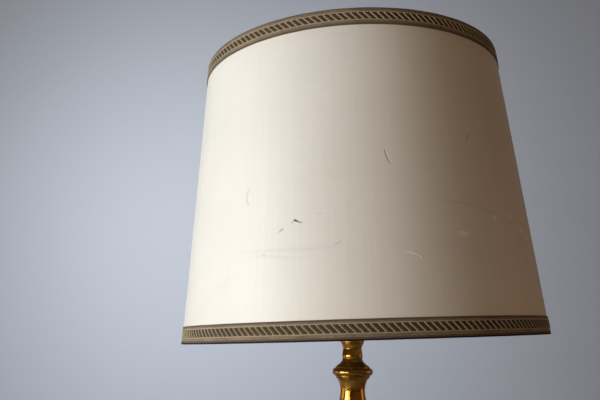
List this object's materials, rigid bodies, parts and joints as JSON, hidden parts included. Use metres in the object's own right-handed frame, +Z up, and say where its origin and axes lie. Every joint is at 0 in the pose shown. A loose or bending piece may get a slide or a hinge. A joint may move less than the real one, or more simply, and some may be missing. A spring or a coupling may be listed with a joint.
{
  "type": "table lamp",
  "caption": "Turned brass table lamp with a weighted base, a bulb holder inside a harp, and a tapered satin drum shade edged with woven braid, held by a finial.",
  "frame": {"origin": "middle of the felt pad's underside, where the stand rests on the table", "axes": "+Z up along the stand's axis, -Y towards the front, where the bulb holder's switch knob points; the cord inlet is at the back, +Y"},
  "size_m": [0.3523, 0.3526, 0.668],
  "materials": {
    "felt": "matte green-black felt",
    "fibreboard": "brown fibreboard",
    "aged_brass": "aged, uneven cast brass",
    "iron": "rough cast iron",
    "black_plastic": "matte",
    "white_plastic": "matte",
    "zinc": "zinc plated",
    "brown_insulation": "satin",
    "blue_insulation": "satin",
    "bright_brass": "brass plated steel",
    "fibre_paper": "waxed fibre paper",
    "phenolic": "moulded black resin",
    "frosted_glass": "inside frosted",
    "nickel": "satin",
    "black_glass": "gloss",
    "clear_glass": "clear",
    "tungsten": "drawn wire",
    "wire": "cream lacquered wire",
    "liner": "cream laminate",
    "satin": "cream satin",
    "tape": "cotton tape",
    "braid": "woven gold and brown braid"
  },
  "bodies": {
    "stand": {"felt_pad": "felt", "base_cover": "fibreboard", "base_plate": "aged_brass", "base_weight": "iron", "cord_bushing": "black_plastic", "terminal_block": "white_plastic", "terminal_block_screws": "zinc", "pipe_nut": "zinc", "pipe_washer": "zinc", "stem_pipe": "zinc", "stem_foot": "aged_brass", "stem_knop": "aged_brass", "stem_vase": "aged_brass", "stem_neck": "aged_brass", "check_ring": "aged_brass", "lead_live": "brown_insulation", "lead_neutral": "blue_insulation", "harp_saddle": "bright_brass", "harp_bow": "bright_brass", "socket_cap": "bright_brass", "socket_set_screw": "zinc", "socket_shell": "bright_brass", "socket_sleeve": "fibre_paper", "socket_body": "phenolic", "socket_screw_shell": "bright_brass", "socket_contact": "bright_brass", "socket_terminal_screws": "zinc"},
    "switch_key": {"switch_shaft": "zinc", "switch_knob": "phenolic"},
    "bulb": {"bulb_glass": "frosted_glass", "bulb_base": "nickel", "bulb_insulator": "black_glass", "bulb_contact": "nickel", "bulb_mount": "clear_glass", "bulb_filament": "tungsten"},
    "ferrule_left": {"harp_ferrule_left": "bright_brass"},
    "ferrule_right": {"harp_ferrule_right": "bright_brass"},
    "swivel": {"harp_stud": "bright_brass"},
    "shade": {"shade_spider": "wire", "shade_top_ring": "wire", "shade_bottom_ring": "wire", "shade_liner": "liner", "shade_cover": "satin", "shade_tape_top": "tape", "shade_tape_bottom": "tape", "shade_braid_top": "braid", "shade_braid_bottom": "braid"},
    "finial": {"finial": "aged_brass"}
  },
  "joints": [
    {"name": "switch_turn", "type": "hinge", "parent": "stand", "child": "switch_key", "pos_m": [0, -0.02, 0.405], "axis": [0, -1, 0], "continuous": true},
    {"name": "bulb_out", "type": "slide", "parent": "stand", "child": "bulb", "axis": [0, 0, 1], "range_m": [0, 0.024]},
    {"name": "ferrule_left_lift", "type": "slide", "parent": "stand", "child": "ferrule_left", "axis": [0, 0, 1], "range_m": [0, 0.012]},
    {"name": "ferrule_right_lift", "type": "slide", "parent": "stand", "child": "ferrule_right", "axis": [0, 0, 1], "range_m": [0, 0.012]},
    {"name": "swivel_turn", "type": "hinge", "parent": "stand", "child": "swivel", "pos_m": [0, 0, 0.63], "axis": [0, 0, 1], "continuous": true},
    {"name": "shade_tilt", "type": "hinge", "parent": "swivel", "child": "shade", "pos_m": [0, 0, 0.636], "axis": [0, 1, 0], "range_deg": [0, 4.2]},
    {"name": "finial_turn", "type": "hinge", "parent": "swivel", "child": "finial", "pos_m": [0, 0, 0.64], "axis": [0, 0, 1], "continuous": true}
  ]
}
